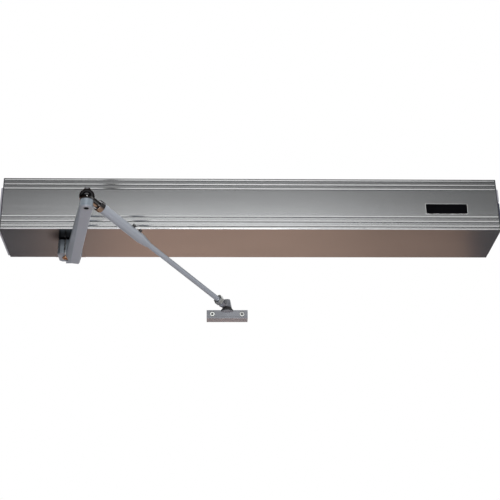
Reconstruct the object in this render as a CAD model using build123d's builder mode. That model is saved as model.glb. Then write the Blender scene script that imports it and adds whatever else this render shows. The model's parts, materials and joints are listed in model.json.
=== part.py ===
from build123d import *
import math
import os

os.makedirs("parts", exist_ok=True)

# Swing door operator. X runs along the cover, +Y points into the wall and +Z is up.
# The origin is the centre of the back plate's wall side. Lengths are in millimetres.

# Casing
case_length = 960.0
case_depth = 130.0
case_height = 110.0
cover_wall = 2.5
cover_corner = 1.6
cap_flange = 2.0
cap_rim_depth = 10.0
cap_rim_wall = 2.0
cap_rim_back = 16.0
trim_thick = 4.0
trim_margin = 4.0
groove_width = 4.0
groove_depth = 1.2
groove_insets_top = (4.6, 14.0, 23.2)
groove_insets_bottom = (6.9, 16.9, 26.9)
plate_thick = 3.0
plate_fold = 12.0
assembly_gap = 0.2
close_fit = 0.03
running_fit = 0.05

half_length = case_length / 2
half_height = case_height / 2
cover_end = half_length - cap_flange
inner_front = -case_depth + cover_wall
inner_height = half_height - cover_wall

# Wall fixing
wall_hole_radius = 3.3
wall_hole_x = half_length - 28.0
wall_hole_z = half_height - 19.0
grommet_x = half_length - 210.0
grommet_z = -half_height + 23.0
grommet_radius = 11.0

# Spindle and gear train
spindle_x = -half_length + 120.0
spindle_y = -68.0
spindle_radius = 10.0
bearing_radius = 14.0
slot_radius = 30.0
insert_bore = 13.0
gear_module = 1.5
output_teeth = 64
pinion_teeth = 17
wheel_module = 1.25
wheel_teeth = 51
rack_module = 2.0
backlash = 0.2
pressure_angle = math.radians(20)
motor_x = spindle_x + 91.0
motor_y = spindle_y + 30.0
motor_radius = 24.0
motor_shaft_radius = 4.0
idler_pin_radius = 4.0

# Housing, from its floor up and from its top plate down
housing_left = spindle_x - 72.0
housing_right = spindle_x + 124.0
housing_front = spindle_y - 52.0
housing_back = -5.0
housing_low = -half_height + 4.0
floor_thick = 8.0
floor_top = housing_low + floor_thick
top_plate_thick = 5.0
top_plate_low = half_height - 12.0
wheel_face = 7.0
wheel_low = top_plate_low - 9.0
gear_face = 12.0
gear_low = wheel_low - 14.0
motor_plate_thick = 4.0
motor_plate_low = gear_low - 6.0
lever_height = 10.0
lever_low = motor_plate_low - 14.0
spring_pinion_face = 18.0
spring_pinion_low = floor_top + 13.0
wall_thick = 6.0
post_radius = 6.0
front_wall_x = spindle_x + 70.0
front_wall_thick = 8.0

# Closing spring
spring_y = spindle_y - 23.0
spring_z = spring_pinion_low + spring_pinion_face / 2
spring_tube_radius = 21.0
spring_tube_wall = 2.0
spring_reach = 340.0
spring_tube_end = spindle_x + spring_reach
spring_mean_radius = 14.0
spring_wire = 4.5
spring_turns = 16
plunger_radius = 6.0
plunger_reach = 84.0
plunger_plate_x = spindle_x + plunger_reach
plunger_plate_thick = 5.0
adjuster_plate_x = spring_tube_end - 14.0
rack_left = spindle_x - 59.0
rack_right = spindle_x + 14.0

# Arm
hub_half_width = 14.0
hub_half_depth = 20.0
hub_left = spindle_x - hub_half_width
hub_right = spindle_x + hub_half_width
hub_front = spindle_y - hub_half_depth
hub_back = spindle_y + hub_half_depth
hub_top = -half_height - 2.5
hub_bottom = hub_top - 28.5
hub_floor = 2.0
spindle_low = hub_bottom + hub_floor
arm_bottom = hub_bottom - 16.0
arm_top_hub = hub_bottom + 10.0
boss_top = arm_bottom + 13.0
boss_radius = 11.5
elbow_x = spindle_x + 66.0
elbow_y = spindle_y - 242.0
ball_z = boss_top + 9.0
arm_width_hub = 26.0
arm_width_elbow = 22.7
arm_offset_hub = 11.4
arm_step = 2.5
hub_corner = 5.0
hub_slit = 3.0
pinch_inset = 6.5
pinch_radius = 2.5
pinch_head_radius = 4.0
pinch_head_high = 4.0
spindle_screw_radius = 4.0
spindle_screw_head = 6.5
ball_radius = 8.0
liner_gap = 0.1
liner_radius = 10.0
socket_radius = 13.5
shank_radius = 6.25
stud_radius = 5.0
tilt_up = 8.0
boss_clear = 12.8

# Door shoe
shoe_x = spindle_x + 313.2
shoe_axis_y = -11.5
shoe_width = 80.0
shoe_height = 17.5
shoe_depth = 20.0
shoe_screw_spacing = 58.0
pivot_z = ball_z - 83.0
fork_top_radius = 6.2
fork_low_radius = 9.2
fork_top = pivot_z + 10.5
fork_low = pivot_z - 6.2
boot_high = 7.8
shoe_top = fork_low - boot_high
shoe_corner = 0.8
shoe_line_height = 3.2
shoe_line_wide = 0.8
shoe_line_deep = 0.5
shoe_screw_drop = 8.3
shoe_screw_radius = 2.4
shoe_screw_hole = 2.6
shoe_screw_head = 4.8
shoe_screw_head_high = 2.8
shoe_screw_sink_radius = 5.6
shoe_screw_sink = 3.0
shoe_screw_inset = 0.2
shoe_screw_end = 0.5
shoe_screw_socket = 2.2
shoe_screw_socket_deep = 1.8
pad_radius = 15.0
pad_high = 1.4
pad_drop = 2.0
boot_low_radius = 14.2
boot_top_radius = 8.4
boot_clear = 0.3
swivel_stud_high = 18.0
ear_front_high = 6.0
ear_thick = 3.4
ear_overhang = 2.0
swivel_radius = 3.5
pivot_reach = 13.0

# Forearm, as distances from the ball's centre along its axis
shank_end = 27.0
collar_end = 38.0
collar_radius = 10.25
socket_stud_end = 55.0
tube_end = 161.0
taper_start = 141.0
tube_radius = 9.0
tube_tip_radius = 6.0
tube_bore_start = 57.0
rod_radius = 5.0
rod_start = 85.0
rod_end = 367.0
set_screw_places = (113.0, 129.6)
set_screw_radius = 3.0
set_screw_head_radius = 3.5
set_screw_head_high = 4.0
lock_nut_across = 17.0
lock_nut_length = 8.5
eye_radius = 7.0
eye_width = 6.0
eye_stud_radius = 3.5
neck_radius = 5.5
pin_radius = 3.0

# Electronics
tray_right = grommet_x - 24.0
tray_left = tray_right - 186.0
tray_height = case_height - 18.0
board_y = -26.0
supply_left = grommet_x + 22.0
supply_right = supply_left + 120.0
supply_height = case_height - 26.0
cable_radius = 2.5

written = []


def save(builder, name):
    """Label a finished piece and write it."""
    builder.part.label = name
    export_step(builder.part, "parts/" + name + ".step")
    written.append(name)


def point_at(radius, angle):
    """The point at a radius and an angle in radians."""
    return (radius * math.cos(angle), radius * math.sin(angle))


def involute_offset(radius, base_radius):
    """The involute's polar angle at a radius."""
    roll = math.acos(base_radius / radius)
    return math.tan(roll) - roll


def gear_points(teeth, module, phase, play=backlash):
    """The outline of a spur gear with one tooth centred on the angle phase."""
    pitch_radius = teeth * module / 2
    base_radius = pitch_radius * math.cos(pressure_angle)
    tip_radius = pitch_radius + module
    root_radius = pitch_radius - 1.25 * module
    half_tooth = (math.pi * module / 2 - play / 2) / (2 * pitch_radius)
    start_radius = max(base_radius, root_radius)
    at_pitch = involute_offset(pitch_radius, base_radius)
    steps = (0.0, 0.25, 0.6, 1.0)
    flank = [start_radius + (tip_radius - start_radius) * step for step in steps]
    points = []
    for tooth in range(teeth):
        middle = phase + 2 * math.pi * tooth / teeth
        root_angle = half_tooth + at_pitch - involute_offset(flank[0], base_radius)
        points.append(point_at(root_radius, middle - root_angle))
        for radius in flank:
            opening = involute_offset(radius, base_radius)
            points.append(point_at(radius, middle - half_tooth - at_pitch + opening))
        for radius in reversed(flank):
            opening = involute_offset(radius, base_radius)
            points.append(point_at(radius, middle + half_tooth + at_pitch - opening))
        points.append(point_at(root_radius, middle + root_angle))
    return unrepeated(points)


def unrepeated(points):
    """The points without any that repeats the one before it."""
    kept = []
    for point in points:
        if not kept or math.dist(kept[-1], point) > 0.001:
            kept.append(point)
    return kept


# Back plate and casing

with BuildPart() as back_plate:
    plate_half = inner_height - assembly_gap
    plate_x = cover_end - 6
    with BuildSketch(Plane.YZ.offset(-plate_x)):
        with BuildLine():
            Polyline(
                (0, -plate_half),
                (0, plate_half),
                (-plate_fold, plate_half),
                (-plate_fold, plate_half - plate_thick),
                (-plate_thick, plate_half - plate_thick),
                (-plate_thick, -plate_half + plate_thick),
                (-plate_fold, -plate_half + plate_thick),
                (-plate_fold, -plate_half),
                close=True,
            )
        make_face()
    extrude(amount=2 * plate_x)
    with Locations(Plane.XZ):
        with GridLocations(2 * wall_hole_x, 2 * wall_hole_z, 2, 2):
            Hole(wall_hole_radius, depth=4 * plate_thick)
        with Locations((grommet_x, grommet_z)):
            Hole(grommet_radius, depth=4 * plate_thick)
    with BuildSketch(Plane.XY.offset(-half_height)):
        with Locations(((housing_left + housing_right) / 2, -plate_thick - plate_fold / 2)):
            Rectangle(housing_right - housing_left + 2, plate_fold)
    extrude(amount=plate_thick * 2, mode=Mode.SUBTRACT)
save(back_plate, "back_plate")

groove_heights = [half_height - inset for inset in groove_insets_top]
groove_heights += [-half_height + inset for inset in groove_insets_bottom]

with BuildPart() as cover:
    with BuildSketch(Plane.YZ.offset(-cover_end)):
        with Locations((-case_depth / 2, 0)):
            Rectangle(case_depth, case_height)
        fillet(vertices().group_by(Axis.Y)[0] + vertices().group_by(Axis.Y)[-1], cover_corner)
        with Locations((inner_front / 2 + cover_wall, 0)):
            Rectangle(-inner_front + 2 * cover_wall, 2 * inner_height, mode=Mode.SUBTRACT)
        for height in groove_heights:
            with BuildLine():
                Polyline(
                    (-case_depth - 1, height + groove_width / 2),
                    (-case_depth, height + groove_width / 2),
                    (-case_depth + groove_depth, height),
                    (-case_depth, height - groove_width / 2),
                    (-case_depth - 1, height - groove_width / 2),
                    close=True,
                )
            make_face(mode=Mode.SUBTRACT)
    extrude(amount=2 * cover_end)
    with BuildSketch(Plane.XY.offset(-half_height - 1)):
        with Locations((spindle_x, spindle_y)):
            Circle(slot_radius)
        with Locations((spindle_x, spindle_y / 2)):
            Rectangle(2 * slot_radius, -spindle_y)
    extrude(amount=cover_wall + 2, mode=Mode.SUBTRACT)
save(cover, "cover")

with BuildPart() as spindle_insert:
    with BuildSketch(Plane.XY.offset(-half_height)):
        with Locations((spindle_x, spindle_y)):
            Circle(slot_radius - assembly_gap)
        with Locations((spindle_x, spindle_y / 2 - assembly_gap)):
            Rectangle(2 * (slot_radius - assembly_gap), -spindle_y - 2 * assembly_gap)
    extrude(amount=cover_wall)
    with Locations((spindle_x, spindle_y, -half_height)):
        Cylinder(insert_bore, 4 * cover_wall, mode=Mode.SUBTRACT)
    fillet(edges().filter_by(GeomType.CIRCLE).filter_by(lambda edge: edge.radius < insert_bore + 1), 0.6)
save(spindle_insert, "spindle_insert")


cap_screw_z = half_height - 29.0
cap_screw_ys = (-28.0, -case_depth + 30.0)
cap_screw_places = [(place, cap_screw_z) for place in cap_screw_ys]
trim_high = half_height - 19.0
trim_low = -half_height + 1.0
trim_low_right = half_height - 47.0


def end_cap(side):
    """A moulded end cap with a plug-in rim. side is -1 on the left and 1 on the right."""
    with BuildPart() as cap:
        with BuildSketch(Plane.YZ.offset(side * cover_end)):
            with Locations((-case_depth / 2, 0)):
                Rectangle(case_depth, case_height)
            fillet(vertices(), cover_corner)
        extrude(amount=side * cap_flange)
        rim_height = 2 * (inner_height - assembly_gap)
        with BuildSketch(Plane.YZ.offset(side * cover_end)):
            with Locations((inner_front / 2 - cap_rim_back / 2, 0)):
                Rectangle(-inner_front - cap_rim_back - 2 * assembly_gap, rim_height)
                rim_inside = -inner_front - cap_rim_back - 2 * cap_rim_wall
                Rectangle(rim_inside, rim_height - 2 * cap_rim_wall, mode=Mode.SUBTRACT)
        extrude(amount=-side * cap_rim_depth)
        with Locations(Plane.YZ.offset(side * half_length)):
            with Locations(*cap_screw_places):
                Hole(2.2, depth=20)
    return cap


def end_trim(side, low, high):
    """A raised trim panel on an end cap, between two heights."""
    with BuildPart() as trim:
        with BuildSketch(Plane.YZ.offset(side * half_length)):
            with Locations((-case_depth / 2, (low + high) / 2)):
                RectangleRounded(case_depth - 2 * trim_margin, high - low, 3)
        extrude(amount=side * trim_thick)
        chamfer(faces().sort_by(Axis.X)[-1 if side > 0 else 0].edges(), 0.8)
        with Locations(Plane.YZ.offset(side * (half_length + trim_thick))):
            with Locations(*cap_screw_places):
                Hole(4.2, depth=20)
    return trim


end_cap_left = end_cap(-1)
save(end_cap_left, "end_cap_left")

switch_low = -half_height + 5.0
switch_high = half_height - 49.0
switch_y = -case_depth + 32.0
switch_body_width = 26.0
switch_body_height = 40.0
rocker_x = half_length - 1.0
rocker_z = (switch_low + switch_high) / 2
rocker_half_width = 8.0
rocker_pin_radius = 1.5

end_cap_right = end_cap(1)
with BuildPart() as end_cap_switch_side:
    add(end_cap_right.part)
    with BuildSketch(Plane.YZ.offset(cover_end - 1)):
        with Locations((switch_y, rocker_z)):
            Rectangle(switch_body_width + 2 * assembly_gap, switch_body_height + 2 * assembly_gap)
    extrude(amount=cap_flange + 2, mode=Mode.SUBTRACT)
save(end_cap_switch_side, "end_cap_right")

end_trim_left = end_trim(-1, trim_low, trim_high)
save(end_trim_left, "end_trim_left")

end_trim_right = end_trim(1, trim_low_right, trim_high)
save(end_trim_right, "end_trim_right")

with BuildPart() as program_switch:
    with BuildSketch(Plane.YZ.offset(half_length)):
        with Locations((-case_depth / 2, (switch_low + switch_high) / 2)):
            RectangleRounded(case_depth - 2 * trim_margin, switch_high - switch_low, 3)
    extrude(amount=trim_thick)
    with BuildSketch(Plane.YZ.offset(half_length - 24)):
        with Locations((switch_y, rocker_z)):
            Rectangle(switch_body_width, switch_body_height)
    extrude(amount=24)
    chamfer(faces().sort_by(Axis.X)[-1].edges(), 0.8)
    with BuildSketch(Plane.YZ.offset(half_length - 14)):
        with Locations((switch_y, rocker_z)):
            Rectangle(2 * rocker_half_width + 0.6, 31)
    extrude(amount=30, mode=Mode.SUBTRACT)
    with Locations(Location((rocker_x, switch_y, rocker_z), (90, 0, 0))):
        Cylinder(rocker_pin_radius + running_fit, switch_body_width - 2, mode=Mode.SUBTRACT)
save(program_switch, "program_switch")

with BuildPart() as program_rocker:
    with BuildSketch(Plane.XZ.offset(-switch_y - rocker_half_width)):
        with BuildLine():
            Polyline(
                (rocker_x - 3, rocker_z - 10),
                (rocker_x + 6.2, rocker_z - 14),
                (rocker_x + 4.2, rocker_z),
                (rocker_x + 6.2, rocker_z + 14),
                (rocker_x - 3, rocker_z + 10),
                close=True,
            )
        make_face()
    extrude(amount=2 * rocker_half_width)
    with Locations(Location((rocker_x, switch_y, rocker_z), (90, 0, 0))):
        Cylinder(rocker_pin_radius, switch_body_width - 3)
save(program_rocker, "program_rocker")

# Label plate on the front of the cover
label_x = half_length - 101.9
label_z = -10.6
label_width = 82.0
label_height = 23.0
label_thick = 0.5
label_edge = 0.9
label_corner = 1.5
border_proud = 0.2
plate_width = label_width - 2 * label_edge
plate_height = label_height - 2 * label_edge

with BuildPart() as label_plate:
    with BuildSketch(Plane.XZ.offset(case_depth)):
        with Locations((label_x, label_z)):
            RectangleRounded(plate_width, plate_height, 0.8)
    extrude(amount=label_thick)
save(label_plate, "label_plate")

with BuildPart() as label_border:
    with BuildSketch(Plane.XZ.offset(case_depth)):
        with Locations((label_x, label_z)):
            RectangleRounded(label_width, label_height, label_corner)
            RectangleRounded(plate_width, plate_height, 0.8, mode=Mode.SUBTRACT)
    extrude(amount=label_thick + border_proud)
save(label_border, "label_border")


bracket_thick = 2.0
bracket_foot = 40.0
bracket_front = -case_depth + 18.0
bracket_low = -half_height + 35.0
bracket_high = cap_screw_z + 4.0
bracket_foot_high = 6.0


def end_bracket(side):
    """A folded steel bracket that stands on the back plate and carries an end cap."""
    with BuildPart() as bracket:
        outer_x = side * (cover_end - cap_rim_depth - 0.4)
        inner_x = outer_x - side * bracket_thick
        foot_x = side * (cover_end - bracket_foot)
        foot_y = -plate_thick - bracket_thick
        with BuildSketch(Plane.XY.offset(bracket_low)):
            with BuildLine():
                Polyline(
                    (outer_x, -plate_thick),
                    (foot_x, -plate_thick),
                    (foot_x, foot_y),
                    (inner_x, foot_y),
                    (inner_x, bracket_front),
                    (outer_x, bracket_front),
                    close=True,
                )
            make_face()
        extrude(amount=bracket_foot_high - bracket_low)
        with BuildSketch(Plane.YZ.offset(inner_x)):
            with Locations(((bracket_front + foot_y) / 2, (bracket_low + bracket_high) / 2)):
                Rectangle(foot_y - bracket_front, bracket_high - bracket_low)
        extrude(amount=side * bracket_thick)
        with Locations(Plane.YZ.offset(side * cover_end)):
            with Locations(*cap_screw_places):
                Hole(2.0, depth=30)
    return bracket


end_bracket_left = end_bracket(-1)
save(end_bracket_left, "end_bracket_left")

end_bracket_right = end_bracket(1)
with BuildPart() as end_bracket_switch_side:
    add(end_bracket_right.part)
    with Locations((cover_end - 12, switch_y, rocker_z)):
        Box(30, switch_body_width + 2, switch_body_height + 2, mode=Mode.SUBTRACT)
save(end_bracket_switch_side, "end_bracket_right")

with BuildPart() as end_cap_screws:
    for side in (-1, 1):
        for place in cap_screw_ys:
            with Locations(Location((side * (half_length + 1.25), place, cap_screw_z), (0, 90, 0))):
                Cylinder(4.0, 2.5)
            with Locations(Location((side * (half_length - 9), place, cap_screw_z), (0, 90, 0))):
                Cylinder(2.0 - close_fit, 18)
            with Locations(Location((side * (half_length + 2.5), place, cap_screw_z), (0, 90, 0))):
                Box(3.0, 0.9, 5.5, mode=Mode.SUBTRACT)
save(end_cap_screws, "end_cap_screws")

with BuildPart() as cable_grommet:
    with Locations(Location((grommet_x, -plate_thick / 2, grommet_z), (90, 0, 0))):
        Cylinder(grommet_radius - close_fit, plate_thick)
    with Locations(Location((grommet_x, -plate_thick - 1, grommet_z), (90, 0, 0))):
        Cylinder(grommet_radius + 2.5, 2)
    with Locations(Location((grommet_x, -plate_thick - 4, grommet_z), (90, 0, 0))):
        Cone(grommet_radius - 1, 5, 5)
save(cable_grommet, "cable_grommet")

# Gear housing
idler_distance = gear_module * (output_teeth + pinion_teeth) / 2
idler_x = spindle_x + idler_distance
idler_y = spindle_y
motor_angle = math.atan2(motor_y - idler_y, motor_x - idler_x)
motor_distance = wheel_module * (wheel_teeth + pinion_teeth) / 2
motor_axis_x = idler_x + motor_distance * math.cos(motor_angle)
motor_axis_y = idler_y + motor_distance * math.sin(motor_angle)
housing_span_x = housing_right - housing_left
housing_mid_x = (housing_left + housing_right) / 2
housing_span_y = housing_back - housing_front
housing_mid_y = (housing_back + housing_front) / 2
left_posts = ((housing_left + 9, housing_front + 9), (housing_left + 9, housing_back - 11))
motor_plate_left = spindle_x + 28.0
motor_plate_back = housing_back - wall_thick - 1.0
motor_plate_front = spring_y - 15.0
plate_posts = ((motor_plate_left + 10.0, -20.0), (housing_right - 4.5, -18.0))
lever_length = 36.0
lever_width = 10.0
lever_rest = math.radians(205)
spindle_travel = math.radians(165)
bumper_radius = 5.0
bumper_reach = 30.0
bumper_post_radius = 3.0


def bumper_place(lever_angle, turn):
    """Where a bumper touches the lever's flank. turn is -1 on its clockwise side and 1 on the other."""
    out_x, out_y = point_at(bumper_reach, lever_angle)
    side_x, side_y = point_at(lever_width / 2 + bumper_radius + 0.3, lever_angle + turn * math.pi / 2)
    return (spindle_x + out_x + side_x, spindle_y + out_y + side_y)


bumper_places = (
    bumper_place(lever_rest, -1),
    bumper_place(lever_rest + spindle_travel, 1),
)

rack_pitch_y = spindle_y - rack_module * pinion_teeth / 2
rack_back_y = spring_y - 6.0
rack_guide_thick = 9.0

with BuildPart() as gear_housing:
    with Locations((housing_mid_x, housing_mid_y, housing_low + floor_thick / 2)):
        Box(housing_span_x, housing_span_y, floor_thick)
    fillet(edges().filter_by(Axis.Z), 5)
    wall_height = top_plate_low - floor_top
    wall_mid_z = (top_plate_low + floor_top) / 2
    with Locations((housing_mid_x, housing_back - wall_thick / 2, wall_mid_z)):
        Box(housing_span_x - 10, wall_thick, wall_height)
    with Locations((housing_left + wall_thick / 2, housing_mid_y, wall_mid_z)):
        Box(wall_thick, housing_span_y - 10, wall_height)
    for place_x, place_y in left_posts:
        with Locations((place_x, place_y, wall_mid_z)):
            Cylinder(post_radius, wall_height)
    for place_x, place_y in plate_posts:
        with Locations((place_x, place_y, (motor_plate_low + floor_top) / 2)):
            Cylinder(4.0, motor_plate_low - floor_top)
    front_wall_back = spring_y + 25
    front_wall_y = (housing_front + front_wall_back) / 2
    with Locations((front_wall_x + front_wall_thick / 2, front_wall_y, (motor_plate_low + floor_top) / 2)):
        Box(front_wall_thick, front_wall_back - housing_front, motor_plate_low - floor_top)
    guide_top = spring_z + 13
    with Locations((spindle_x - 5, rack_back_y - 0.3 - rack_guide_thick / 2, (floor_top + guide_top) / 2)):
        Box(60, rack_guide_thick, guide_top - floor_top)
    for place_x, place_y in bumper_places:
        with Locations((place_x, place_y, (floor_top + lever_low) / 2)):
            Cylinder(bumper_radius, lever_low - floor_top)
        with Locations((place_x, place_y, lever_low + lever_height / 2)):
            Cylinder(bumper_post_radius, lever_height)
    with Locations((spindle_x, spindle_y, housing_low + floor_thick / 2)):
        Cylinder(bearing_radius, 2 * floor_thick, mode=Mode.SUBTRACT)
    with Locations(Location((front_wall_x, spring_y, spring_z), (0, 90, 0))):
        Cylinder(plunger_radius + running_fit, 40, mode=Mode.SUBTRACT)
    for place_x, place_y in left_posts:
        with Locations((place_x, place_y, top_plate_low - 8)):
            Cylinder(2.0, 20, mode=Mode.SUBTRACT)
save(gear_housing, "gear_housing")

with BuildPart() as motor_plate:
    with BuildSketch(Plane.XY.offset(motor_plate_low)):
        with Locations(((motor_plate_left + housing_right) / 2, (motor_plate_front + motor_plate_back) / 2)):
            RectangleRounded(housing_right - motor_plate_left, motor_plate_back - motor_plate_front, 4)
        with Locations((motor_axis_x, motor_axis_y)):
            Circle(12 + close_fit, mode=Mode.SUBTRACT)
        with Locations((idler_x, idler_y)):
            Circle(idler_pin_radius, mode=Mode.SUBTRACT)
    extrude(amount=motor_plate_thick)
save(motor_plate, "motor_plate")

cover_legs = ((housing_right - 12, spring_y - 8.0), (housing_right - 12, -19.0))

with BuildPart() as gear_cover:
    with Locations((housing_mid_x, housing_mid_y, top_plate_low + top_plate_thick / 2)):
        Box(housing_span_x, housing_span_y, top_plate_thick)
    fillet(edges().filter_by(Axis.Z), 5)
    leg_low = motor_plate_low + motor_plate_thick
    for place_x, place_y in cover_legs:
        with Locations((place_x, place_y, (leg_low + top_plate_low) / 2)):
            Cylinder(5, top_plate_low - leg_low)
    with Locations((spindle_x, spindle_y, top_plate_low)):
        Cylinder(bearing_radius, 20, mode=Mode.SUBTRACT)
    with Locations((idler_x, idler_y, top_plate_low)):
        Cylinder(idler_pin_radius, 20, mode=Mode.SUBTRACT)
    for place_x, place_y in left_posts:
        with Locations((place_x, place_y, top_plate_low)):
            Cylinder(2.5, 20, mode=Mode.SUBTRACT)
save(gear_cover, "gear_cover")

with BuildPart() as housing_screws:
    for place_x, place_y in left_posts:
        with Locations((place_x, place_y, top_plate_low + top_plate_thick + 1.25)):
            Cylinder(3.8, 2.5)
        with Locations((place_x, place_y, top_plate_low - 1)):
            Cylinder(2.0 - close_fit, 12)
        with Locations((place_x, place_y, top_plate_low + top_plate_thick + 2.5)):
            Box(4, 1, 2.5, mode=Mode.SUBTRACT)
save(housing_screws, "housing_screws")


def bearing_bush(low, height):
    """A bearing bush round the spindle."""
    with BuildPart() as bush:
        with Locations((spindle_x, spindle_y, low + height / 2)):
            Cylinder(bearing_radius - close_fit, height)
            Cylinder(spindle_radius + running_fit, 2 * height, mode=Mode.SUBTRACT)
        chamfer(edges().filter_by(GeomType.CIRCLE).group_by(Axis.Z)[-1], 0.5)
    return bush


lower_bearing = bearing_bush(housing_low, floor_thick)
save(lower_bearing, "lower_bearing")

upper_bearing = bearing_bush(top_plate_low, top_plate_thick)
save(upper_bearing, "upper_bearing")

with BuildPart() as stop_bumpers:
    for place_x, place_y in bumper_places:
        with Locations((place_x, place_y, lever_low + lever_height / 2)):
            Cylinder(bumper_radius, lever_height)
            Cylinder(bumper_post_radius + close_fit, 2 * lever_height, mode=Mode.SUBTRACT)
save(stop_bumpers, "stop_bumpers")

with BuildPart() as idler_pin:
    pin_top = top_plate_low + top_plate_thick
    with Locations((idler_x, idler_y, (motor_plate_low + pin_top) / 2)):
        Cylinder(idler_pin_radius - close_fit, pin_top - motor_plate_low)
save(idler_pin, "idler_pin")

# Gear motor
can_low = floor_top + 9.0
can_top = can_low + 28.0
motor_inlet_z = can_low + 14.0

with BuildPart() as gear_motor:
    with Locations((motor_axis_x, motor_axis_y, (can_low + can_top) / 2)):
        Cylinder(motor_radius, can_top - can_low)
    with Locations((motor_axis_x, motor_axis_y, (can_top + motor_plate_low) / 2)):
        Cylinder(motor_radius - 2, motor_plate_low - can_top)
    with Locations((motor_axis_x, motor_axis_y, motor_plate_low + motor_plate_thick / 2)):
        Cylinder(12, motor_plate_thick)
    with Locations((motor_axis_x, motor_axis_y, can_low - 4)):
        Cylinder(motor_radius - 5, 8)
    with Locations((motor_axis_x + motor_radius, motor_axis_y, motor_inlet_z)):
        Box(8, 9, 9)
    with Locations((motor_axis_x, motor_axis_y, motor_plate_low)):
        Cylinder(motor_shaft_radius + running_fit, 32, mode=Mode.SUBTRACT)
    fillet(edges().filter_by(GeomType.CIRCLE).group_by(Axis.Z)[0], 1.5)
save(gear_motor, "gear_motor")

with BuildPart() as motor_pinion:
    with BuildSketch(Plane.XY.offset(wheel_low)):
        with BuildLine(Plane.XY.offset(wheel_low) * Location((motor_axis_x, motor_axis_y, 0))):
            in_mesh = motor_angle + math.pi + math.pi / pinion_teeth
            Polyline(*gear_points(pinion_teeth, wheel_module, in_mesh), close=True)
        make_face()
    extrude(amount=wheel_face)
    shaft_low = motor_plate_low - 14
    with Locations((motor_axis_x, motor_axis_y, (shaft_low + wheel_low) / 2)):
        Cylinder(motor_shaft_radius, wheel_low - shaft_low)
save(motor_pinion, "motor_pinion")

# Idler: a wheel driven by the motor pinion and a pinion that drives the output gear
with BuildPart() as idler_wheel:
    with BuildSketch(Plane.XY.offset(wheel_low)):
        with BuildLine(Plane.XY.offset(wheel_low) * Location((idler_x, idler_y, 0))):
            Polyline(*gear_points(wheel_teeth, wheel_module, motor_angle), close=True)
        make_face()
        with Locations((idler_x, idler_y)):
            Circle(idler_pin_radius + running_fit, mode=Mode.SUBTRACT)
            with PolarLocations(19, 5):
                Circle(6, mode=Mode.SUBTRACT)
    extrude(amount=wheel_face)
save(idler_wheel, "idler_wheel")

with BuildPart() as idler_pinion:
    with BuildSketch(Plane.XY.offset(gear_low)):
        with BuildLine(Plane.XY.offset(gear_low) * Location((idler_x, idler_y, 0))):
            Polyline(*gear_points(pinion_teeth, gear_module, math.pi + math.pi / pinion_teeth), close=True)
        make_face()
        with Locations((idler_x, idler_y)):
            Circle(idler_pin_radius + running_fit, mode=Mode.SUBTRACT)
    extrude(amount=wheel_low - gear_low)
save(idler_pinion, "idler_pinion")

# Spindle with its gear, spring pinion and stop lever
with BuildPart() as output_spindle:
    spindle_top = top_plate_low + top_plate_thick
    with Locations((spindle_x, spindle_y, (spindle_low + spindle_top) / 2)):
        Cylinder(spindle_radius, spindle_top - spindle_low)
    chamfer(edges().filter_by(GeomType.CIRCLE), 0.8)
    with Locations((spindle_x, spindle_y, spindle_low)):
        Cylinder(4 + close_fit, 50, mode=Mode.SUBTRACT)
save(output_spindle, "output_spindle")

with BuildPart() as output_gear:
    with BuildSketch(Plane.XY.offset(gear_low)):
        with BuildLine(Plane.XY.offset(gear_low) * Location((spindle_x, spindle_y, 0))):
            Polyline(*gear_points(output_teeth, gear_module, 0), close=True)
        make_face()
        with Locations((spindle_x, spindle_y)):
            Circle(spindle_radius + close_fit, mode=Mode.SUBTRACT)
            with PolarLocations(29, 6):
                Circle(9, mode=Mode.SUBTRACT)
    extrude(amount=gear_face)
save(output_gear, "output_gear")

with BuildPart() as spring_pinion:
    with BuildSketch(Plane.XY.offset(spring_pinion_low)):
        with BuildLine(Plane.XY.offset(spring_pinion_low) * Location((spindle_x, spindle_y, 0))):
            in_mesh = -math.pi / 2 + math.pi / pinion_teeth
            Polyline(*gear_points(pinion_teeth, rack_module, in_mesh), close=True)
        make_face()
        with Locations((spindle_x, spindle_y)):
            Circle(spindle_radius + close_fit, mode=Mode.SUBTRACT)
    extrude(amount=spring_pinion_face)
save(spring_pinion, "spring_pinion")

with BuildPart() as stop_lever:
    with BuildSketch(Plane.XY.offset(lever_low)):
        with Locations((spindle_x, spindle_y)):
            Circle(16)
        lever_middle = point_at(lever_length / 2, lever_rest)
        lever_place = (spindle_x + lever_middle[0], spindle_y + lever_middle[1])
        with Locations(Location(lever_place, math.degrees(lever_rest))):
            Rectangle(lever_length, lever_width)
        with Locations((spindle_x, spindle_y)):
            Circle(spindle_radius + close_fit, mode=Mode.SUBTRACT)
    extrude(amount=lever_height)
save(stop_lever, "stop_lever")

# Rack, spring tube, closing spring and its adjuster
rack_low = spring_pinion_low - 1
rack_height = spring_pinion_face + 2
rack_step = math.pi * rack_module


def rack_points():
    """The outline of the toothed bar, with one tooth centred on the spindle."""
    tip = rack_pitch_y + rack_module
    root = rack_pitch_y - 1.25 * rack_module
    half_pitch = rack_step / 4 - backlash / 4
    at_tip = half_pitch - rack_module * math.tan(pressure_angle)
    at_root = half_pitch + 1.25 * rack_module * math.tan(pressure_angle)
    points = [(rack_right, rack_back_y), (rack_left, rack_back_y), (rack_left, root)]
    first = math.ceil((rack_left + at_root + 0.5 - spindle_x) / rack_step)
    last = math.floor((rack_right - 6 - spindle_x) / rack_step)
    for number in range(first, last + 1):
        middle = spindle_x + number * rack_step
        points.append((middle - at_root, root))
        points.append((middle - at_tip, tip))
        points.append((middle + at_tip, tip))
        points.append((middle + at_root, root))
    points.append((rack_right, root))
    return points


with BuildPart() as spring_rack:
    with BuildSketch(Plane.XY.offset(rack_low)):
        with BuildLine():
            Polyline(*rack_points(), close=True)
        make_face()
    extrude(amount=rack_height)
save(spring_rack, "spring_rack")

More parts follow.
